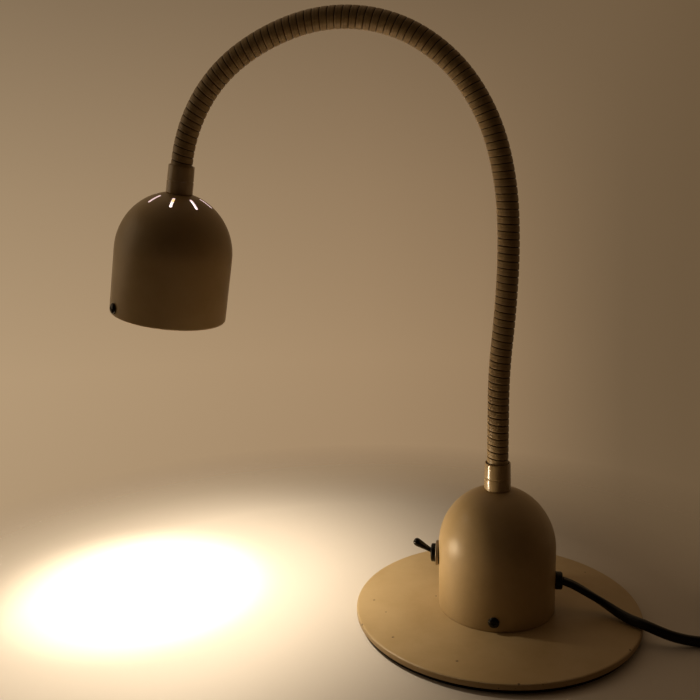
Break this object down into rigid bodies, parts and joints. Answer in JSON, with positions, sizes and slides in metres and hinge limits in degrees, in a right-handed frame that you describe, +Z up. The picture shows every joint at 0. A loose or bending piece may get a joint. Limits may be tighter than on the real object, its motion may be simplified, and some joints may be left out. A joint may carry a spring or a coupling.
{
  "type": "gooseneck desk lamp",
  "caption": "Low-voltage desk lamp: round weighted foot, transformer dome with side toggle switch, strip-wound gooseneck and matching slotted dome shade over a reflector bulb.",
  "frame": {"origin": "centre of the foot's underside, on the table", "axes": "+Z up along the lower gooseneck; -X towards the switch lever and, in the posed shape, the shade; +X towards the power lead; -Y is the side with the visible dome screw"},
  "size_m": [0.556, 0.2288, 0.4346],
  "materials": {
    "paint_cream": "satin cream enamel",
    "paint_neck": "satin cream enamel on strip-wound steel",
    "pad_black": "matt black foam rubber",
    "zinc_steel": "bright zinc plate",
    "black_screws": "gloss black oxide",
    "core_iron": "varnished laminations",
    "winding_tape": "yellow tape and bobbin",
    "terminal_white": "natural plastic",
    "brass": "bright",
    "wire_brown": "smooth insulation",
    "switch_black": "moulded black",
    "lever_black": "gloss black",
    "plate_nickel": "dull nickel",
    "gland_black": "semi-gloss black",
    "carrier_dark": "satin black",
    "reflector_dichroic": "mirror-coated faceted glass",
    "capsule_glass": "clear quartz and white cement",
    "ceramic_white": "glazed ceramic look",
    "wire_white": "silicone insulation",
    "cord_black": "satin black vinyl",
    "plug_black": "moulded black vinyl",
    "pin_nickel": "nickel plate"
  },
  "bodies": {
    "base": {"base_pad": "pad_black", "base_disc": "paint_cream", "base_dome": "paint_cream", "dome_bracket": "zinc_steel", "dome_screws": "black_screws", "transformer_core": "core_iron", "transformer_winding": "winding_tape", "transformer_frame": "zinc_steel", "transformer_screws": "zinc_steel", "terminal_block": "terminal_white", "terminal_screws": "brass", "base_wiring": "wire_brown", "switch_body": "switch_black", "switch_terminals": "brass", "switch_bushing": "zinc_steel", "switch_plate": "plate_nickel", "switch_nut": "lever_black", "cord_gland": "gland_black", "gland_nut": "gland_black", "ferrule_lower": "paint_cream", "nipple_lower": "zinc_steel", "washer_lower": "zinc_steel", "nut_lower": "brass", "neck_01": "paint_neck", "cord_lead": "cord_black", "cord_coil": "cord_black", "cord_tail": "cord_black", "cord_tie": "switch_black", "plug_body": "plug_black", "plug_pins": "pin_nickel"},
    "lever": {"switch_lever": "lever_black", "lever_pin": "zinc_steel"},
    "length_02": {"neck_02": "paint_neck"},
    "length_03": {"neck_03": "paint_neck"},
    "length_04": {"neck_04": "paint_neck"},
    "length_05": {"neck_05": "paint_neck"},
    "length_06": {"neck_06": "paint_neck"},
    "length_07": {"neck_07": "paint_neck"},
    "length_08": {"neck_08": "paint_neck"},
    "length_09": {"neck_09": "paint_neck"},
    "length_10": {"neck_10": "paint_neck"},
    "length_11": {"neck_11": "paint_neck"},
    "shade": {"neck_12": "paint_neck", "ferrule_upper": "paint_cream", "nipple_upper": "zinc_steel", "washer_upper": "zinc_steel", "nut_upper": "brass", "shade_dome": "paint_cream", "shade_screws": "black_screws", "lamp_carrier": "carrier_dark", "bulb_retainer": "zinc_steel", "bulb_reflector": "reflector_dichroic", "bulb_capsule": "capsule_glass", "bulb_pins": "pin_nickel", "bulb_socket": "ceramic_white", "socket_strap": "zinc_steel", "strap_rivets": "zinc_steel", "socket_screw": "zinc_steel", "shade_wiring": "wire_white"}
  },
  "joints": [
    {"name": "neck_bend_01", "type": "hinge", "parent": "base", "child": "length_02", "pos_m": [0, 0, 0.16229], "axis": [-0.0523, 0.9986, 0], "range_deg": [-16, 20]},
    {"name": "neck_side_02", "type": "hinge", "parent": "length_02", "child": "length_03", "pos_m": [0.00212, 0.00011, 0.20653], "axis": [-0.994, -0.0521, 0.0958], "range_deg": [-20, 20]},
    {"name": "neck_bend_03", "type": "hinge", "parent": "length_03", "child": "length_04", "pos_m": [0.00521, 0.00027, 0.25071], "axis": [-0.0523, 0.9986, 0], "range_deg": [-12, 20]},
    {"name": "neck_bend_04", "type": "hinge", "parent": "length_04", "child": "length_05", "pos_m": [0.00501, 0.00026, 0.295], "axis": [-0.0523, 0.9986, 0], "range_deg": [-12, 20]},
    {"name": "neck_side_05", "type": "hinge", "parent": "length_05", "child": "length_06", "pos_m": [-0.00189, -0.0001, 0.33867], "axis": [-0.9646, -0.0506, -0.2588], "range_deg": [-20, 20]},
    {"name": "neck_bend_06", "type": "hinge", "parent": "length_06", "child": "length_07", "pos_m": [-0.01998, -0.00105, 0.37889], "axis": [-0.0523, 0.9986, 0], "range_deg": [-10, 22]},
    {"name": "neck_bend_07", "type": "hinge", "parent": "length_07", "child": "length_08", "pos_m": [-0.05106, -0.00268, 0.41], "axis": [-0.0523, 0.9986, 0], "range_deg": [-10, 22]},
    {"name": "neck_side_08", "type": "hinge", "parent": "length_08", "child": "length_09", "pos_m": [-0.09203, -0.00482, 0.42575], "axis": [-0.1476, -0.0077, -0.989], "range_deg": [-20, 20]},
    {"name": "neck_bend_09", "type": "hinge", "parent": "length_09", "child": "length_10", "pos_m": [-0.13589, -0.00712, 0.42326], "axis": [-0.0523, 0.9986, 0], "range_deg": [-12, 24]},
    {"name": "neck_bend_10", "type": "hinge", "parent": "length_10", "child": "length_11", "pos_m": [-0.17615, -0.00893, 0.40531], "axis": [-0.0396, 0.9992, 0.0057], "range_deg": [-12, 24]},
    {"name": "neck_bend_11", "type": "hinge", "parent": "length_11", "child": "shade", "pos_m": [-0.20711, -0.00937, 0.3741], "axis": [-0.0201, 0.9995, 0.0253], "range_deg": [-14, 26]},
    {"name": "switch_throw", "type": "hinge", "parent": "base", "child": "lever", "pos_m": [-0.0455, 0, 0.046], "axis": [0, -1, 0], "range_deg": [0, 60]}
  ]
}
